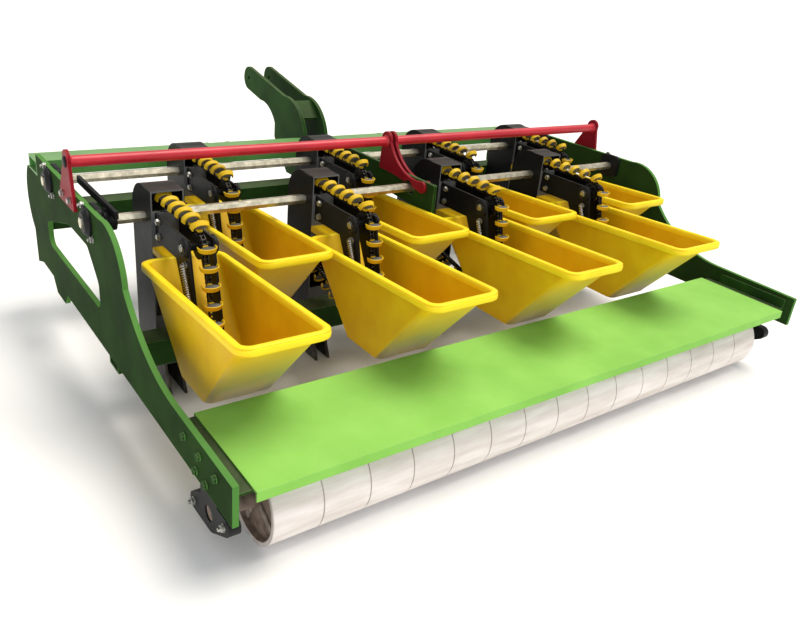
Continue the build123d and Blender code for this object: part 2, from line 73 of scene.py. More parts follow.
def blank_material(name, **sockets):
    """A Principled material with its constant sockets set, then its node tree and its shader."""
    material = bpy.data.materials.new(name)
    material.use_nodes = True
    shader = material.node_tree.nodes["Principled BSDF"]
    for socket, value in sockets.items():
        shader.inputs[socket.replace("_", " ")].default_value = value
    return material, material.node_tree, shader


def sprayed_enamel(name, deep, plain, edge, gloss, dust, coat=0.0, shine=0.5, back=0.0, cut=0.0):
    """Sprayed enamel: clouds 160 mm wide between two tones, edges lightened as a painted highlight, settled
    dust, and orange peel drawn 4 mm wide, coarser than real, so that it shows. back is how far faces that
    look rearward are turned grey as a painted reflection of the sky, and cut is how far the cut faces of a
    plate are lightened as a painted highlight."""
    material, tree, shader = blank_material(name, IOR=1.45, Coat_Weight=coat, Coat_Roughness=0.2,
                                            Specular_IOR_Level=shine)
    cloud_size, peel_size, dust_size, edge_radius = 0.16, 0.004, 0.05, 0.0025
    dust_colour, sky_reflection_grey = srgb("#B9B19A"), srgb("#7E8286")
    place = add_node(tree, "ShaderNodeTexCoord").outputs["Object"]
    surface = add_node(tree, "ShaderNodeNewGeometry")
    cloud = add_node(tree, "ShaderNodeTexNoise", {"Vector": place}, {"Scale": 1 / cloud_size, "Detail": 5})
    tone = add_node(tree, "ShaderNodeValToRGB", {0: cloud.outputs[0]}, ramp=((0.35, deep), (0.68, plain)))
    rounded = add_node(tree, "ShaderNodeBevel", values={"Radius": edge_radius}, samples=4)
    # Painted highlight: where the bevelled normal bends away from the face, at the rounded edges, the colour
    # is mixed towards the edge colour.
    bend = add_node(tree, "ShaderNodeVectorMath", {0: rounded.outputs[0], 1: surface.outputs["Normal"]},
                    operation="DOT_PRODUCT")
    edge_highlight_mask = add_node(tree, "ShaderNodeMapRange", {0: bend.outputs["Value"]},
                    {1: 0.995, 2: 0.82, 3: 0, 4: 0.8})
    edged = add_node(tree, "ShaderNodeMix", {0: edge_highlight_mask.outputs[0], 6: tone.outputs[0]}, {7: srgb(edge)},
                     data_type="RGBA")
    up = add_node(tree, "ShaderNodeSeparateXYZ", {0: surface.outputs["Normal"]})
    flat = add_node(tree, "ShaderNodeMapRange", {0: up.outputs["Z"]}, {1: 0.55, 2: 0.95, 3: 0, 4: dust})
    specks = add_node(tree, "ShaderNodeTexNoise", {"Vector": place},
                      {"Scale": 1 / dust_size, "Detail": 8, "Roughness": 0.7})
    settled = add_node(tree, "ShaderNodeMath", {0: flat.outputs[0], 1: specks.outputs[0]},
                       operation="MULTIPLY")
    beige_mixed = add_node(tree, "ShaderNodeMix", {0: settled.outputs[0], 6: edged.outputs[2]}, {7: dust_colour},
                     data_type="RGBA")
    coloured = beige_mixed.outputs[2]
    # Painted reflection: faces that look rearward are mixed towards a grey that stands for reflected sky.
    if back:
        rear = add_node(tree, "ShaderNodeMapRange", {0: up.outputs["Y"]},
                        {1: -0.7, 2: -0.95, 3: 0, 4: back})
        coloured = add_node(tree, "ShaderNodeMix", {0: rear.outputs[0], 6: coloured}, {7: sky_reflection_grey},
                            data_type="RGBA").outputs[2]
    # Painted highlight: faces that do not look sideways, the cut faces of a plate, are mixed towards the edge
    # colour.
    if cut:
        aside = add_node(tree, "ShaderNodeMath", {0: up.outputs["X"]}, operation="ABSOLUTE")
        cut_face_highlight_mask = add_node(tree, "ShaderNodeMapRange", {0: aside.outputs[0]}, {1: 0.6, 2: 0.3, 3: 0, 4: cut})
        coloured = add_node(tree, "ShaderNodeMix", {0: cut_face_highlight_mask.outputs[0], 6: coloured}, {7: srgb(edge)},
                            data_type="RGBA").outputs[2]
    tree.links.new(coloured, shader.inputs["Base Color"])
    dull = add_node(tree, "ShaderNodeMapRange", {0: specks.outputs[0]}, {3: gloss - 0.07, 4: gloss + 0.12})
    tree.links.new(dull.outputs[0], shader.inputs["Roughness"])
    peel = add_node(tree, "ShaderNodeTexNoise", {"Vector": place}, {"Scale": 1 / peel_size, "Detail": 1})
    bump = add_node(tree, "ShaderNodeBump", {"Height": peel.outputs[0], "Normal": rounded.outputs[0]},
                    {"Strength": 0.12, "Distance": 0.0004})
    tree.links.new(bump.outputs[0], shader.inputs["Normal"])
    return material


def dress(prefixes, material):
    """Give every frame node whose name starts with one of the prefixes this material."""
    for name, node in nodes.items():
        if name.startswith(prefixes):
            node.data.materials.clear()
            node.data.materials.append(material)


# Painted shade and light: these greens are shaded and lit copies of one paint. The dark greens of bars, hitch
# and side plates are painted shade, the front beam's lighter green is painted light, and the side plates' cut
# faces are lightened as a painted highlight.
deep_green = sprayed_enamel("deep_green_enamel", "#20381A", "#2A4B1F", "#74AE57", 0.5, 0.18, shine=0.04)
dress(("toolbar", "rear_tie", "board_bracket", "hitch_mast", "lower_hitch", "centre_plate"), deep_green)
plate_green = sprayed_enamel("plate_green_enamel", "#22361A", "#2A451E", "#5F9B49", 0.6, 0.15, shine=0.02,
                             cut=0.6)
dress(("side_plate",), plate_green)
beam_green = sprayed_enamel("beam_green_enamel", "#4E8C40", "#5D9C4E", "#93C47A", 0.4, 0.3)
dress(("front_beam",), beam_green)


# Press roller: a white plastic sleeve of butted rings on a steel drum, turning on stub axles.
# The seams between the rings are darkened as painted shade, and the recessed end discs are a mottled brown.
def box_of(name):
    """Low and high corners of a frame node's box, as two arrays."""
    return tuple(np.array(corner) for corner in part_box(name))


roller_low, roller_high = box_of("press_roller")
roller_y = (roller_low[1] + roller_high[1]) / 2
roller_radius = (roller_high[2] - roller_low[2]) / 2
roller_half = 0.990
ring_count = 15
ring_step = 2 * roller_half / ring_count


def roller_sleeve():
    """Moulded white plastic: streaks along the axle, seams darkened as painted shade, mottled brown ends."""
    material, tree, shader = blank_material("white_roller_sleeve", IOR=1.49)
    streak_size, grain_size, seam_half, rim = 0.03, 0.006, 0.0035, 0.105
    place = add_node(tree, "ShaderNodeTexCoord").outputs["Object"]
    centred = add_node(tree, "ShaderNodeMapping", {0: place}, {1: (roller_half, -roller_y, -roller_radius)})
    axes = add_node(tree, "ShaderNodeSeparateXYZ", {0: centred.outputs[0]})
    rings = add_node(tree, "ShaderNodeMath", {0: axes.outputs["X"]}, {1: ring_step / 2},
                     operation="PINGPONG")
    # Painted shade: a thin band at each seam between the rings is mixed towards a darker grey-brown.
    seam_shade = add_node(tree, "ShaderNodeMapRange", {0: rings.outputs[0]}, {1: 0, 2: seam_half, 3: 0.45, 4: 0})
    narrow = add_node(tree, "ShaderNodeMapRange", {0: rings.outputs[0]}, {1: 0, 2: seam_half, 3: 0, 4: 1})
    stretched = add_node(tree, "ShaderNodeMapping", {0: place}, {3: (0.15, 1, 1)})
    streak = add_node(tree, "ShaderNodeTexNoise", {0: stretched.outputs[0]},
                      {"Scale": 1 / streak_size, "Detail": 6})
    skin = add_node(tree, "ShaderNodeValToRGB", {0: streak.outputs[0]},
                    ramp=((0.3, "#CFC4BD"), (0.66, "#EDE6E2")))
    seam_shaded = add_node(tree, "ShaderNodeMix", {0: seam_shade.outputs[0], 6: skin.outputs[0]}, {7: srgb("#9A8E86")},
                      data_type="RGBA")
    across = add_node(tree, "ShaderNodeCombineXYZ", {1: axes.outputs["Y"], 2: axes.outputs["Z"]})
    spoke = add_node(tree, "ShaderNodeVectorMath", {0: across.outputs[0]}, operation="LENGTH")
    inner = add_node(tree, "ShaderNodeMath", {0: spoke.outputs["Value"]}, {1: rim}, operation="LESS_THAN")
    end_mottle = add_node(tree, "ShaderNodeTexNoise", {0: place}, {"Scale": 1 / streak_size, "Detail": 8})
    brown = add_node(tree, "ShaderNodeValToRGB", {0: end_mottle.outputs[0]},
                     ramp=((0.3, "#5E4C40"), (0.7, "#A08D7E")))
    ended = add_node(tree, "ShaderNodeMix",
                     {0: inner.outputs[0], 6: seam_shaded.outputs[2], 7: brown.outputs[0]}, data_type="RGBA")
    tree.links.new(ended.outputs[2], shader.inputs["Base Color"])
    dull = add_node(tree, "ShaderNodeMapRange", {0: streak.outputs[0]}, {3: 0.5, 4: 0.72})
    tree.links.new(dull.outputs[0], shader.inputs["Roughness"])
    grain = add_node(tree, "ShaderNodeTexNoise", {0: place}, {"Scale": 1 / grain_size, "Detail": 2})
    height = add_node(tree, "ShaderNodeMath", {0: grain.outputs[0], 1: narrow.outputs[0]},
                      operation="MULTIPLY")
    bump = add_node(tree, "ShaderNodeBump", {"Height": height.outputs[0]},
                    {"Strength": 0.25, "Distance": 0.0008})
    tree.links.new(bump.outputs[0], shader.inputs["Normal"])
    return material


dress(("press_roller",), roller_sleeve())


# Fasteners and cast bearings: zinc-plated hex bolts with washers, and black cast-iron flange housings.
# Zinc is a bright grey metal with a faint crystal mottle; castings are rough and dull under thin paint.
def lathe(profile, sides, turn=0.0):
    """A profile of (radius, height) pairs turned about Z: points (r cos a, r sin a, h) and their quads."""
    profile = np.asarray(profile, float)
    angle = turn + np.arange(sides) * 2 * pi / sides
    ring = np.stack([np.cos(angle), np.sin(angle)], -1)
    flat = profile[:, None, :1] * ring[None]
    height = np.broadcast_to(profile[:, None, 1:], (*flat.shape[:2], 1))
    return np.concatenate([flat, height], -1).reshape(-1, 3), grid_quads(len(profile), sides)


def grid_quads(rows, columns, wrap_rows=False):
    """Quads between neighbouring points of a grid whose columns run round, and whose rows may too."""
    i, j = np.meshgrid(np.arange(rows if wrap_rows else rows - 1), np.arange(columns), indexing="ij")
    down, across = (i + 1) % rows, (j + 1) % columns
    corners = [i * columns + j, i * columns + across, down * columns + across, down * columns + j]
    return np.stack(corners, -1).reshape(-1, 4)


def joined(*shapes):
    """Several (points, quads) shapes as one."""
    starts = np.cumsum([0] + [len(points) for points, _ in shapes])
    return (np.concatenate([points for points, _ in shapes]),
            np.concatenate([quads + start for (_, quads), start in zip(shapes, starts)]))


def copies(shape, origins, axes):
    """The shape once at each origin, with its x, y and z along that origin's three axes."""
    points, quads = shape
    origins = np.asarray(origins, float)
    axes = np.broadcast_to(np.asarray(axes, float), (len(origins), 3, 3))
    placed = origins[:, None] + np.einsum("pk,mkj->mpj", points, axes)
    shifted = quads[None] + (np.arange(len(origins)) * len(points))[:, None, None]
    return placed.reshape(-1, 3), shifted.reshape(-1, 4)


def add_piece(name, shape, material, body="frame", crease=35):
    """A new piece from points and quads: doubles merged, faces outward, smooth but for creased edges."""
    mesh = bpy.data.meshes.new(name)
    mesh.from_pydata(shape[0].tolist(), [], shape[1].tolist())
    work = bmesh.new()
    work.from_mesh(mesh)
    bmesh.ops.remove_doubles(work, verts=work.verts, dist=1e-6)
    bmesh.ops.dissolve_degenerate(work, dist=1e-7, edges=work.edges)
    bmesh.ops.recalc_face_normals(work, faces=work.faces)
    work.to_mesh(mesh)
    work.free()
    mesh.shade_smooth()
    mesh.set_sharp_from_angle(angle=radians(crease))
    mesh.materials.append(material)
    piece = bpy.data.objects.new(name, mesh)
    bpy.context.scene.collection.objects.link(piece)
    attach(piece, body)
    return piece


def metal(name, dark, light, rough, mottle_size, metallic=1.0, grain=0.0, shine=0.5):
    """Bare or plated metal: a mottle between two tones, with the roughness and grain following it."""
    material, tree, shader = blank_material(name, Metallic=metallic, Specular_IOR_Level=shine)
    place = add_node(tree, "ShaderNodeTexCoord").outputs["Object"]
    mottle = add_node(tree, "ShaderNodeTexNoise", {0: place}, {"Scale": 1 / mottle_size, "Detail": 6})
    tone = add_node(tree, "ShaderNodeValToRGB", {0: mottle.outputs[0]}, ramp=((0.3, dark), (0.7, light)))
    tree.links.new(tone.outputs[0], shader.inputs["Base Color"])
    dull = add_node(tree, "ShaderNodeMapRange", {0: mottle.outputs[0]}, {3: rough - 0.08, 4: rough + 0.14})
    tree.links.new(dull.outputs[0], shader.inputs["Roughness"])
    rounded = add_node(tree, "ShaderNodeBevel", values={"Radius": 0.001}, samples=4)
    bump = add_node(tree, "ShaderNodeBump", {"Height": mottle.outputs[0], "Normal": rounded.outputs[0]},
                    {"Strength": grain, "Distance": 0.0005})
    tree.links.new(bump.outputs[0], shader.inputs["Normal"])
    return material


zinc = metal("zinc_plate", "#7E7F7C", "#C4C3BC", 0.34, 0.008)
casting = metal("black_cast_iron", "#0B0C0D", "#1B1D1F", 0.5, 0.003, 0.0, 0.35, 0.2)
dress(("roller_bearing", "shaft_bearings"), casting)

WASHER = [(0.0105, 0), (0.0105, 0.0025), (0.005, 0.0025)]
HEX_HEAD = [(0.0095, 0.002), (0.0095, 0.008), (0.0082, 0.0092), (0, 0.0092)]
THREAD_END = [(0.005, 0.009), (0.005, 0.0145), (0.0042, 0.0155), (0, 0.0155)]
bolt_head = joined(lathe(WASHER, 12), lathe(HEX_HEAD, 6))
hex_bolt = joined(bolt_head, lathe(THREAD_END, 8))
BEARING_RING = [(0.0165, 0), (0.040, 0), (0.040, 0.007), (0.034, 0.013), (0.0285, 0.017), (0.0165, 0.017),
                (0.0165, 0)]
bearing_ring = lathe(BEARING_RING, 32)
SIDES = (("left", -1), ("right", 1))
ROWS = ("rear", "front")
LOBE_INSET, LOBE_SLOPE = 0.024, radians(16)
SHAFT_BOLT_REACH, BEARING_BOLT_REACH, PAINTED_BOLT_DROP = 0.038, 0.028, 0.018
BRACKET_BOLTS, BRACKET_REAR_INSET, BRACKET_FRONT_INSET = 3, 0.05, 0.04
FOOT_BOLT_RISE, FOOT_REAR_INSET, FOOT_FRONT_INSET = 0.024, 0.035, 0.045
outward = {"left": [[0, 0, 1], [0, -1, 0], [-1, 0, 0]], "right": [[0, 0, 1], [0, 1, 0], [1, 0, 0]]}


def outer_face(name, sign):
    """X of a node's outer face on the side that sign gives."""
    return sign * max(abs(corner[0]) for corner in box_of(name))


def shaft_axis(row):
    """Y and Z of a row's drive shaft."""
    low, high = box_of(f"drive_shaft_{row}")
    return (low[1:] + high[1:]) / 2


bolt_sets, painted_sets, ring_sets = [], [], []
for side, sign in SIDES:
    bearing_low, bearing_high = box_of(f"roller_bearing_{side}")
    lobe = (bearing_high[1] - bearing_low[1]) / 2 - LOBE_INSET
    face = outer_face(f"roller_bearing_{side}", sign)
    lobes = [(face, roller_y + e * lobe, roller_radius - e * lobe * sin(LOBE_SLOPE)) for e in (-1, 1)]
    bolt_sets.append(copies(hex_bolt, lobes, outward[side]))
    plate_face = outer_face(f"side_plate_{side}", sign)
    spots = []
    for row in ROWS:
        shaft_y, shaft_z = shaft_axis(row)
        reaches = (-SHAFT_BOLT_REACH, SHAFT_BOLT_REACH)
        spots += [(plate_face, shaft_y + reach, shaft_z + reach) for reach in reaches]
        ring_sets.append(copies(bearing_ring, [(plate_face, shaft_y, shaft_z)], outward[side]))
    bolt_sets.append(copies(hex_bolt, spots, outward[side]))
    bracket_low, bracket_high = box_of(f"board_bracket_{side}")
    bracket_run = np.linspace(bracket_low[1] + BRACKET_REAR_INSET, bracket_high[1] - BRACKET_FRONT_INSET,
                              BRACKET_BOLTS)
    painted = [(plate_face, y, bracket_high[2] - PAINTED_BOLT_DROP) for y in bracket_run]
    painted += [(plate_face, roller_y + e * BEARING_BOLT_REACH, bearing_high[2] - PAINTED_BOLT_DROP)
                for e in (-1, 1)]
    painted_sets.append(copies(bolt_head, painted, outward[side]))
    foot_low, foot_high = box_of(f"guard_foot_{side}")
    foot_face = outer_face(f"guard_foot_{side}", sign)
    foot_bolts = [(foot_face, y, foot_low[2] + FOOT_BOLT_RISE)
                  for y in (foot_low[1] + FOOT_REAR_INSET, foot_high[1] - FOOT_FRONT_INSET)]
    bolt_sets.append(copies(bolt_head, foot_bolts, outward[side]))
add_piece("frame_bolts", joined(*bolt_sets), zinc)
add_piece("arm_bolts", joined(*painted_sets), deep_green)
add_piece("shaft_end_rings", joined(*ring_sets), casting)


# Roller spokes: four flat steel straps welded across each recessed end disc, bare where soil scours them.
# They turn with the roller, so they ride on it.
STRAP_INNER, STRAP_OUTER, STRAP_CORNER, STRAP_THINNESS = 0.024, 0.102, 0.0127, 0.28
STRAP_DEPTH, FIRST_STRAP = 0.0145, 0.5
strap = lathe([(0, STRAP_INNER), (STRAP_CORNER, STRAP_INNER), (STRAP_CORNER, STRAP_OUTER), (0, STRAP_OUTER)],
              4, pi / 4)
strap = (strap[0] * [1, STRAP_THINNESS, 1], strap[1])
straps = []
for _, sign in SIDES:
    for turn in np.arange(4) * pi / 2 + FIRST_STRAP:
        ways = [[0, -sin(turn), cos(turn)], [1, 0, 0], [0, cos(turn), sin(turn)]]
        straps.append(copies(strap, [(sign * (roller_half - STRAP_DEPTH), roller_y, roller_radius)], ways))
soil_steel = metal("soil_scoured_strap", "#7C6F63", "#B9ADA0", 0.5, 0.02, 0.6, 0.2)
add_piece("roller_straps", joined(*straps), soil_steel, "roller")


# Footboard: sheet steel folded down along both long edges and sprayed green; people stand on it. Its light
# leaf green is the lit copy of the frame's paint, painted light.
# Boots scuff the enamel, so its gloss is uneven and it carries a little dust.
leaf_green = sprayed_enamel("leaf_green_enamel", "#7EBB4C", "#8AC758", "#A6DA7E", 0.55, 0.1, shine=0.2)
dress(("footboard",), leaf_green)


# Drive shafts: bright drawn hexagon bar, left bare, that turns the top sprockets of a whole row.
# Drawn bar is smooth, pale steel with a faint mottle under a film of yellow oil.
drawn_steel = metal("drawn_hex_bar", "#B5B09B", "#E6E1CC", 0.42, 0.02)
dress(("drive_shaft",), drawn_steel)


# Drop tubes, cheeks, openers and sprockets: tubes folded from 4 mm sheet and cheeks cut from 6 mm plate,
# both sprayed black, their edges lightened as a painted highlight. The tubes' rear faces are turned grey as
# a painted reflection of the sky, soil scours the openers, and oil darkens the sprockets.
BLACK_TONES = ("#0D0E0F", "#17191B", "#3A3D40")
gloss_black = sprayed_enamel("gloss_black_enamel", *BLACK_TONES, 0.4, 0.1, shine=0.14)
dress(("unit_cheeks",), gloss_black)
# back=0.6 turns the tubes' rear faces grey, a painted reflection of the sky.
tube_black = sprayed_enamel("tube_black_enamel", *BLACK_TONES, 0.4, 0.1, shine=0.14, back=0.6)
dress(("drop_tube",), tube_black)
dress(("furrow_openers",), metal("soil_worn_steel", "#2A2725", "#6A6661", 0.5, 0.03, 0.7, 0.2))
dress(("sprockets",), metal("oiled_sprocket_steel", "#2B2B2A", "#6F6E69", 0.4, 0.01))


# Unit fittings: black hub caps with zinc nuts on the rear sprocket's pin, cheek bolts, and a bright coil
# spring on each left cheek that keeps the chain tight.
HUB_CAP = [(0.027, 0), (0.027, 0.006), (0.022, 0.010), (0.013, 0.010), (0.013, 0.006), (0, 0.006)]
NUT_SPREAD, NUT_SEAT = 1.15, 0.0055
CHEEK_FACE, REAR_PIN = 0.037, (-0.278, 0.0)
CHEEK_BOLT_BACK, CHEEK_BOLT_RISES = 0.085, (0.008, -0.036)
SPRING_TOP, SPRING_FOOT, SPRING_STAND = (-0.280, -0.048), (-0.325, -0.150), 0.009
SPRING_RADIUS, SPRING_WIRE, SPRING_TURNS = 0.007, 0.0018, 18
hub_cap = lathe(HUB_CAP, 24)
hub_nut = (bolt_head[0] * [NUT_SPREAD, NUT_SPREAD, 1] + [0, 0, NUT_SEAT], bolt_head[1])


def coil_spring(length, radius, wire, turns):
    """Helix (R cos a, R sin a, L t), a = 2 pi N t, with a round wire r (cos b n + sin b Z) along it."""
    t = np.linspace(0, 1, int(turns * 12) + 1)
    b = np.arange(6) * 2 * pi / 6
    normal = np.stack([np.cos(2 * pi * turns * t), np.sin(2 * pi * turns * t)], -1)
    flat = normal[:, None] * (radius + wire * np.cos(b))[None, :, None]
    height = (length * t[:, None] + wire * np.sin(b)[None])[..., None]
    return np.concatenate([flat, height], -1).reshape(-1, 3), grid_quads(len(t), len(b))


spring_way = np.array(SPRING_FOOT) - np.array(SPRING_TOP)
spring_length = np.linalg.norm(spring_way)
down = [0, *(spring_way / spring_length)]
spring = coil_spring(spring_length, SPRING_RADIUS, SPRING_WIRE, SPRING_TURNS)


def unit_middles(row):
    """X of the middle of each unit in a row, from its drop tube."""
    tubes = [box_of(f"drop_tube_{row}_{number}") for number in range(1, 5)]
    return [(low[0] + high[0]) / 2 for low, high in tubes]


caps, nuts, springs = [], [], []
for row in ROWS:
    shaft_y, shaft_z = shaft_axis(row)
    for middle in unit_middles(row):
        for side, sign in SIDES:
            pin = (middle + sign * CHEEK_FACE, shaft_y + REAR_PIN[0], shaft_z + REAR_PIN[1])
            cheek_bolts = [(pin[0], shaft_y - CHEEK_BOLT_BACK, shaft_z + rise) for rise in CHEEK_BOLT_RISES]
            caps.append(copies(hub_cap, [pin], outward[side]))
            nuts.append(copies(hub_nut, [pin], outward[side]))
            nuts.append(copies(bolt_head, cheek_bolts, outward[side]))
        spring_x = middle - CHEEK_FACE
        hook = (spring_x - SPRING_STAND, shaft_y + SPRING_TOP[0], shaft_z + SPRING_TOP[1])
        springs.append(copies(spring, [hook], [[1, 0, 0], np.cross(down, [1, 0, 0]), down]))
        ends = [(spring_x, hook[1] + k * spring_way[0], hook[2] + k * spring_way[1]) for k in (0, 1)]
        nuts.append(copies(hex_bolt, ends, outward["left"]))
add_piece("unit_hub_caps", joined(*caps), casting)
add_piece("unit_nuts", joined(*nuts), zinc)
add_piece("unit_springs", joined(*springs), metal("bright_spring_steel", "#A5A6A4", "#E4E4DF", 0.22, 0.01),
          crease=60)


# Drive lever: a black flat bar clamped on the rear shaft inside the left plate, taken to work the drive.
# Flat bar and clamp are hot-rolled steel under thin black paint.
LEVER_X, BAR_LIFT, BAR_REAR, BAR_FRONT, BAR_CORNER, BAR_THINNESS = -1.055, 0.037, -0.08, 0.29, 0.0156, 0.45
COLLAR = [(0.0162, -0.016), (0.03, -0.016), (0.03, 0.016), (0.0162, 0.016), (0.0162, -0.016)]
POST = [(0, 0.024), (0.017, 0.024), (0.017, 0.034), (0, 0.034)]
lever_y, lever_z = shaft_axis("rear")
clamp_place = [(LEVER_X, lever_y, lever_z)]
collar = copies(lathe(COLLAR, 20), clamp_place, outward["right"])
flat_bar = lathe([(0, BAR_REAR), (BAR_CORNER, BAR_REAR), (BAR_CORNER, BAR_FRONT), (0, BAR_FRONT)], 4, pi / 4)
flat_bar = (flat_bar[0] * [BAR_THINNESS, 1, 1], flat_bar[1])
flat_bar = copies(flat_bar, [(LEVER_X, lever_y, lever_z + BAR_LIFT)], [[1, 0, 0], [0, 0, 1], [0, 1, 0]])
post = copies(lathe(POST, 4, pi / 4), clamp_place, np.eye(3))
add_piece("drive_lever", joined(collar, flat_bar, post), casting)


# Hoppers: rotation-moulded yellow plastic funnels with a thick rolled rim.
# Moulded plastic is slightly cloudy and satin, and turns grey-beige low on the outer walls that face down
# and rearward.
def moulded_plastic(name, deep, plain, grey_top):
    """Moulded plastic: clouds 90 mm wide, 5 mm mould grain, and grey-beige low on outer walls that face down
    and rearward, fading out at grey_top.
    """
    material, tree, shader = blank_material(name, IOR=1.5, Specular_IOR_Level=0.22)
    cloud_size, grain_size, grey_fade, grey_strength = 0.09, 0.005, 0.2, 1.4
    place = add_node(tree, "ShaderNodeTexCoord").outputs["Object"]
    cloud = add_node(tree, "ShaderNodeTexNoise", {0: place}, {"Scale": 1 / cloud_size, "Detail": 6})
    tone = add_node(tree, "ShaderNodeValToRGB", {0: cloud.outputs[0]}, ramp=((0.3, deep), (0.7, plain)))
    surface = add_node(tree, "ShaderNodeNewGeometry")
    down = add_node(tree, "ShaderNodeSeparateXYZ", {0: surface.outputs["Normal"]})
    # Faces that look down and rearward, low on the outer walls, are mixed towards grey-beige, broken by the
    # cloud.
    under = add_node(tree, "ShaderNodeMapRange", {0: down.outputs["Z"]}, {1: -0.15, 2: -0.4, 3: 0, 4: 1})
    behind = add_node(tree, "ShaderNodeMapRange", {0: down.outputs["Y"]}, {1: -0.2, 2: -0.5, 3: 0, 4: 1})
    outside = add_node(tree, "ShaderNodeMath", {0: under.outputs[0], 1: behind.outputs[0]},
                       operation="MULTIPLY")
    axes = add_node(tree, "ShaderNodeSeparateXYZ", {0: place})
    low = add_node(tree, "ShaderNodeMapRange", {0: axes.outputs["Z"]},
                   {1: grey_top, 2: grey_top - grey_fade, 3: 0, 4: grey_strength})
    patch = add_node(tree, "ShaderNodeMath", {0: low.outputs[0], 1: outside.outputs[0]},
                     operation="MULTIPLY")
    greyed_patch = add_node(tree, "ShaderNodeMath", {0: patch.outputs[0], 1: cloud.outputs[0]},
                       operation="MULTIPLY")
    beige_mixed = add_node(tree, "ShaderNodeMix", {0: greyed_patch.outputs[0], 6: tone.outputs[0]},
                     {7: srgb("#A3987C")}, data_type="RGBA")
    tree.links.new(beige_mixed.outputs[2], shader.inputs["Base Color"])
    dull = add_node(tree, "ShaderNodeMapRange", {0: cloud.outputs[0]}, {3: 0.38, 4: 0.56})
    tree.links.new(dull.outputs[0], shader.inputs["Roughness"])
    grain = add_node(tree, "ShaderNodeTexNoise", {0: place}, {"Scale": 1 / grain_size, "Detail": 2})
    bump = add_node(tree, "ShaderNodeBump", {"Height": grain.outputs[0]},
                    {"Strength": 0.1, "Distance": 0.0006})
    tree.links.new(bump.outputs[0], shader.inputs["Normal"])
    return material


hopper_yellow = moulded_plastic("moulded_yellow_plastic", "#DDAE0C", "#E9C214", 0.48)
dress(("hopper",), hopper_yellow)
# Painted highlight: the rim is the hopper's own plastic, given a lighter yellow where the rolled bead catches
# the light.
rim_yellow = moulded_plastic("rolled_rim_plastic", "#F2D01A", "#FCE022", 0.0)


def round_rectangle(width, depth, corner, steps):
    """A rectangle with quarter-circle corners, corner centres plus r (cos a, sin a), and its outward ways."""
    angle = np.linspace(0, pi / 2, steps)[None] + np.arange(4)[:, None] * pi / 2
    signs = np.array([(1, 1), (-1, 1), (-1, -1), (1, -1)])
    centres = signs * (np.array([width, depth]) / 2 - corner)
    ways = np.stack([np.cos(angle), np.sin(angle)], -1)
    return (centres[:, None] + corner * ways).reshape(-1, 2), ways.reshape(-1, 2)


def rolled_rim(low, high, width, height, corner):
    """A rounded bead carried round the mouth: each path point plus outward * p + up * q of its profile,
    in a mouth tilted by t about its middle: y = v cos t + w sin t, z = w cos t - v sin t."""
    tilt, mouth_length, tongue, inset = radians(3.1), 0.641, 0.088, 0.009
    bead_corner, bead_proud = 0.0095, 0.003
    path, outward_way = round_rectangle(high[0] - low[0] - 2 * inset, mouth_length - 2 * inset, corner, 8)
    bead, _ = round_rectangle(width, height, bead_corner, 5)
    flat = path[None] + bead[:, None, :1] * outward_way[None]
    rise = np.broadcast_to(bead[:, None, 1:] + bead_proud - height / 2, (*flat.shape[:2], 1))
    along = flat[..., 1:]
    middle = [(low[0] + high[0]) / 2, high[1] - tongue - mouth_length / 2,
              high[2] - mouth_length / 2 * sin(tilt)]
    points = np.concatenate([flat[..., :1], along * cos(tilt) + rise * sin(tilt),
                             rise * cos(tilt) - along * sin(tilt)], -1) + middle
    return points.reshape(-1, 3), grid_quads(len(bead), len(path), wrap_rows=True)


RIM_WIDTH, RIM_HEIGHT, MOUTH_CORNER = 0.022, 0.025, 0.03
for name in sorted(n for n in nodes if n.startswith("hopper")):
    low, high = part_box(name)
    rim = rolled_rim(low, high, RIM_WIDTH, RIM_HEIGHT, MOUTH_CORNER)
    add_piece(f"rim_{name}", rim, rim_yellow, crease=80)


# Cup chains: roller chain with a moulded yellow scoop bolted to every fourth link.
# Each scoop is a U-shaped wall that opens the way the chain runs, closed below by a grey insert.
WHEELS = [((0.0, 0.0), 0.040), ((-0.278, 0.0), 0.040), ((-0.352, -0.286), 0.030), ((0.0, -0.190), 0.040)]
CUP_PITCH = 0.050
LINK_PITCH = 0.0125
CUP_HALF_WIDTH, CUP_ROUND, CUP_LEG, CUP_DEPTH, CUP_WALL = 0.021, 0.015, 0.008, 0.0135, 0.0032
CUP_STAND, CUP_TILT = 0.017, radians(16)
INSERT = [(0, 0.0015), (0.8, 0.0015), (1, 0.003), (1, 0.0105), (0.86, 0.0115), (0, 0.0135)]
STEM, STEM_LIFT = [(0, 0.002), (0.009, 0.002), (0.009, 0.010), (0, 0.010)], 0.008
PLATE_RADIUS, PLATE_HALF_GAP, PLATE_THICKNESS = 0.0055, 0.0045, 0.0016
PIN_RADIUS, PIN_HALF = 0.0035, 0.008


def chain_line(wheels, steps=24):
    """Closed line round the wheels: a tangent's normal n has n.d = (r1 - r2) / length, arcs between."""
    centres = np.array([centre for centre, _ in wheels])
    radii = np.array([radius for _, radius in wheels])
    gaps = np.roll(centres, -1, 0) - centres
    spans = np.linalg.norm(gaps, axis=1)
    ways = gaps / spans[:, None]
    lean = (radii - np.roll(radii, -1)) / spans
    right = np.stack([ways[:, 1], -ways[:, 0]], -1)
    leaving = ways * lean[:, None] + right * np.sqrt(1 - lean**2)[:, None]
    start = np.arctan2(*np.roll(leaving, 1, 0).T[::-1])
    turn = (np.arctan2(*leaving.T[::-1]) - start) % (2 * pi)
    angle = start[:, None] + turn[:, None] * np.linspace(0, 1, steps)[None]
    arcs = centres[:, None] + radii[:, None, None] * np.stack([np.cos(angle), np.sin(angle)], -1)
    return arcs.reshape(-1, 2)


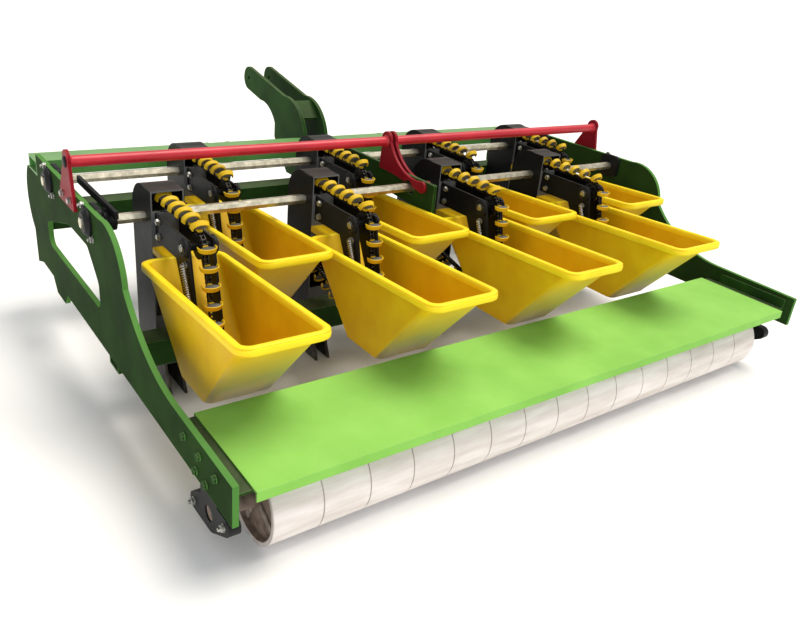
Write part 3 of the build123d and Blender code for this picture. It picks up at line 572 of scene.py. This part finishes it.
def spaced(line, step):
    """Points, unit directions and count at equal steps along a closed line, by its running length."""
    closed = np.concatenate([line, line[:1]])
    run = np.concatenate([[0], np.cumsum(np.linalg.norm(np.diff(closed, axis=0), axis=1))])
    count = round(run[-1] / step)
    at = np.arange(count) * run[-1] / count
    here = np.stack([np.interp(at, run, closed[:, k]) for k in (0, 1)], -1)
    ahead = np.stack([np.interp((at + step / 8) % run[-1], run, closed[:, k]) for k in (0, 1)], -1)
    way = ahead - here
    return here, way / np.linalg.norm(way, axis=1)[:, None], count


def link_axes(way):
    """Axes of a link: x across the machine, y out of the loop, z the way the chain runs."""
    out = np.stack([np.zeros(len(way)), way[:, 1], -way[:, 0]], -1)
    travel = np.stack([np.zeros(len(way)), -way[:, 0], -way[:, 1]], -1)
    across = np.broadcast_to([1.0, 0, 0], out.shape)
    return np.stack([across, out, travel], 1)


def scoop_band(steps=11):
    """A U-shaped wall: a section carried along (a cos u, c + b sin u), u from 0 to pi, with a straight leg
    at each end, leaning outward as it rises, and closed where the two legs end."""
    u = np.linspace(0, pi, steps)
    bend = np.stack([CUP_HALF_WIDTH * np.cos(u), CUP_STAND + CUP_ROUND * np.sin(u)], -1)
    normal = np.stack([CUP_ROUND * np.cos(u), CUP_HALF_WIDTH * np.sin(u)], -1)
    normal = normal / np.linalg.norm(normal, axis=1)[:, None]
    leg = np.array([0, -CUP_LEG])
    path = np.concatenate([bend[:1] + leg, bend[:1] + leg, bend, bend[-1:] + leg, bend[-1:] + leg])
    normal = np.concatenate([normal[:1], normal[:1], normal, normal[-1:], normal[-1:]])
    half, lean, lip = CUP_WALL / 2, 0.0035, 0.001
    section = np.array([(-half, 0), (half, 0), (half + lean, CUP_DEPTH - lip),
                        (half + lean - lip, CUP_DEPTH), (lean - half + lip, CUP_DEPTH),
                        (lean - half, CUP_DEPTH - lip)])
    spread = np.concatenate([[0], np.ones(len(path) - 2), [0]])[:, None, None]
    middle = section.mean(0)
    shape = middle + (section - middle) * spread
    flat = path[:, None] + normal[:, None] * shape[..., :1]
    return np.concatenate([flat, shape[..., 1:]], -1).reshape(-1, 3), grid_quads(len(path), len(section))


def leaning(shape):
    """The shape turned by CUP_TILT about the cup's stand, so that its mouth leans out of the loop."""
    points = shape[0] - [0, CUP_STAND, 0]
    turn = np.array([[1, 0, 0], [0, cos(CUP_TILT), sin(CUP_TILT)], [0, -sin(CUP_TILT), cos(CUP_TILT)]])
    return points @ turn.T + [0, CUP_STAND, 0], shape[1]


insert = lathe(INSERT, 16)
insert_size = [CUP_HALF_WIDTH - CUP_WALL / 2, (CUP_ROUND + CUP_LEG - CUP_WALL / 2) / 2, 1]
insert = leaning((insert[0] * insert_size + [0, CUP_STAND + (CUP_ROUND - CUP_LEG) / 2, 0], insert[1]))
scoop = leaning(scoop_band())
stem = lathe(STEM, 4, pi / 4)
stem = (stem[0][:, [0, 2, 1]] + [0, 0, STEM_LIFT], stem[1])
cup = joined(scoop, stem)


def link_plate_pair(half_gap, thickness):
    """Two obround link plates: half circles of radius r about both pins, joined, at +x and -x."""
    angle = np.concatenate([np.linspace(-pi / 2, pi / 2, 5), np.linspace(pi / 2, 3 * pi / 2, 5)])
    middle = np.repeat([LINK_PITCH / 2, -LINK_PITCH / 2], 5)
    ring = np.stack([PLATE_RADIUS * np.sin(angle), middle + PLATE_RADIUS * np.cos(angle)], -1)
    count = len(ring)
    layers = [np.concatenate([np.full((count, 1), x), ring], -1) for x in (half_gap, half_gap + thickness)]
    hub = np.broadcast_to([half_gap, 0, 0], (count, 3))
    cap = np.broadcast_to([half_gap + thickness, 0, 0], (count, 3))
    plate = (np.concatenate([hub, *layers, cap]), grid_quads(4, count))
    other = (plate[0] * [-1, 1, 1], plate[1])
    return joined(plate, other)


roller_pin = lathe([(0, -PIN_HALF), (PIN_RADIUS, -PIN_HALF), (PIN_RADIUS, PIN_HALF), (0, PIN_HALF)], 8)
roller_pin = (roller_pin[0][:, [2, 0, 1]], roller_pin[1])
link = joined(link_plate_pair(PLATE_HALF_GAP, PLATE_THICKNESS), roller_pin)
cup_yellow = moulded_plastic("scoop_plastic", "#C9A414", "#DDBA22", 0.0)
insert_grey = moulded_plastic("insert_plastic", "#4C4B47", "#6B6A64", 0.0)
chain_steel = metal("oiled_chain_steel", "#1C1B1A", "#5B5853", 0.38, 0.006)
loop = chain_line(WHEELS)
for row in ROWS:
    middles = unit_middles(row)
    grouped = {}
    for step, shapes in ((CUP_PITCH, {"cups": cup, "inserts": insert}), (LINK_PITCH, {"links": link})):
        here, way, count = spaced(loop, step)
        axes = np.tile(link_axes(way), (len(middles), 1, 1))
        across = np.repeat(middles, count)[:, None]
        origins = np.concatenate([across, np.tile(here + shaft_axis(row), (len(middles), 1))], 1)
        for kind, shape in shapes.items():
            grouped[kind] = copies(shape, origins, axes)
    cups = add_piece(f"scoops_{row}", grouped["cups"], cup_yellow, crease=50)
    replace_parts(cups, f"cup_chains_{row}")
    add_piece(f"scoop_inserts_{row}", grouped["inserts"], insert_grey, crease=60)
    add_piece(f"roller_chain_{row}", grouped["links"], chain_steel, crease=30)


# Guard bars: bright red gas pipe welded between two plates and bolted over the chains as a hand guard.
# A bead of weld runs round both ends, and the outer ends are closed by black plastic plugs.
guard_red = sprayed_enamel("gloss_red_enamel", "#B31728", "#CC2134", "#E2606A", 0.4, 0.05, 0.15)
# Painted shade: the plates' darker red is the pipe's red paint, darkened where the plates lie in shade.
plate_red = sprayed_enamel("plate_red_enamel", "#7A101C", "#921624", "#D2525C", 0.45, 0.05, shine=0.12)
dress(("guard_foot", "guard_arm"), plate_red)
PIPE_RADIUS, BEAD = 0.017, 0.0045
PLUG = [(0.016, 0), (0.016, 0.003), (0.013, 0.0055), (0.005, 0.0065), (0, 0.0065)]
half_profile = [(0, 0), (PIPE_RADIUS + BEAD, 0), (PIPE_RADIUS + 0.8 * BEAD, 0.5 * BEAD),
                (PIPE_RADIUS, 1.6 * BEAD)]
plug = lathe(PLUG, 24)
plug_black = moulded_plastic("plug_plastic", "#0E0F10", "#1D1F21", 0.0)
for side, sign in SIDES:
    bar_low, bar_high = box_of(f"guard_tube_{side}")
    bar_length = bar_high[0] - bar_low[0]
    profile = half_profile + [(radius, bar_length - height) for radius, height in half_profile[::-1]]
    axis = ((bar_low[1] + bar_high[1]) / 2, bar_low[2] + PIPE_RADIUS)
    pipe = copies(lathe(profile, 32), [(bar_low[0], *axis)], [[0, 1, 0], [0, 0, 1], [1, 0, 0]])
    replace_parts(add_piece(f"guard_pipe_{side}", pipe, guard_red), f"guard_tube_{side}")
    face = outer_face(f"guard_foot_{side}", sign)
    add_piece(f"guard_plug_{side}", copies(plug, [(face, *axis)], outward[side]), plug_black)


# Studio: a plain pale floor, a large soft key light high over the right side, a fill and a pale sky.
# The camera stands where the photograph's did, fitted to the footboard, hopper rims, roller end and cups.
def studio_material(name, colour, rough):
    """Matt paint of one colour, broken by a faint cloud."""
    material, tree, shader = blank_material(name, Roughness=rough)
    place = add_node(tree, "ShaderNodeTexCoord").outputs["Object"]
    cloud = add_node(tree, "ShaderNodeTexNoise", {0: place}, {"Scale": 0.7})
    tone = add_node(tree, "ShaderNodeValToRGB", {0: cloud.outputs[0]},
                    ramp=((0.3, colour), (0.7, "#F8F8F7")))
    tree.links.new(tone.outputs[0], shader.inputs["Base Color"])
    return material


FLOOR = [(0, -0.0005), (40, -0.0005), (46, 1.5), (50, 6.0)]
floor_points, floor_quads = lathe(FLOOR, 96)
floor_mesh = bpy.data.meshes.new("studio_floor")
floor_mesh.from_pydata(floor_points.tolist(), [], floor_quads.tolist())
floor_mesh.shade_smooth()
floor_mesh.materials.append(studio_material("studio_floor_paint", "#F4F4F2", 0.85))
floor = bpy.data.objects.new("studio_floor", floor_mesh)
bpy.context.scene.collection.objects.link(floor)


def soft_light(name, kind, place, target, size, power, colour):
    """A soft light aimed from place to target: size is a panel's edge in metres or a sun's angle."""
    light = bpy.data.lights.new(name, kind)
    light.energy = power
    light.color = srgb(colour)[:3]
    if kind == "SUN":
        light.angle = size
    else:
        light.size = size
    lamp = bpy.data.objects.new(name, light)
    way = np.array(target) - np.array(place)
    lamp.location = place
    lamp.rotation_euler = Vector(way.tolist()).to_track_quat("-Z", "Y").to_euler()
    bpy.context.scene.collection.objects.link(lamp)


soft_light("key", "SUN", (1.7, -0.5, 4.9), (0, 0, 0.3), radians(38), 3.1, "#FFF8EE")
soft_light("fill", "AREA", (-2.2, -5.0, 2.6), (0, 0, 0.4), 4.0, 54, "#EAF1FF")
world = bpy.data.worlds.new("pale_sky")
world.use_nodes = True
world.node_tree.nodes["Background"].inputs["Color"].default_value = srgb("#F7F8FA")
world.node_tree.nodes["Background"].inputs["Strength"].default_value = 0.6
bpy.context.scene.world = world
bpy.context.scene.view_settings.view_transform = "Standard"

FOCAL_PIXELS, PHOTO_WIDTH = 752.5, 800
AZIMUTH, ELEVATION, ROLL = radians(38.36), radians(24.91), radians(-5.97)
CAMERA_PLACE = (-1.6238, -2.2203, 1.2961)
camera_data = bpy.data.cameras.new("photo_camera")
camera_data.sensor_width = 36.0
camera_data.lens = FOCAL_PIXELS / PHOTO_WIDTH * camera_data.sensor_width
forward = np.array([sin(AZIMUTH) * cos(ELEVATION), cos(AZIMUTH) * cos(ELEVATION), -sin(ELEVATION)])
level = np.array([cos(AZIMUTH), -sin(AZIMUTH), 0])
dip = np.cross(forward, level)
image_right = cos(ROLL) * level + sin(ROLL) * dip
image_down = -sin(ROLL) * level + cos(ROLL) * dip
camera = bpy.data.objects.new("photo_camera", camera_data)
turned = Matrix(np.stack([image_right, -image_down, -forward], 1).tolist()).to_4x4()
camera.matrix_world = Matrix.Translation(CAMERA_PLACE) @ turned
bpy.context.scene.collection.objects.link(camera)
bpy.context.scene.camera = camera
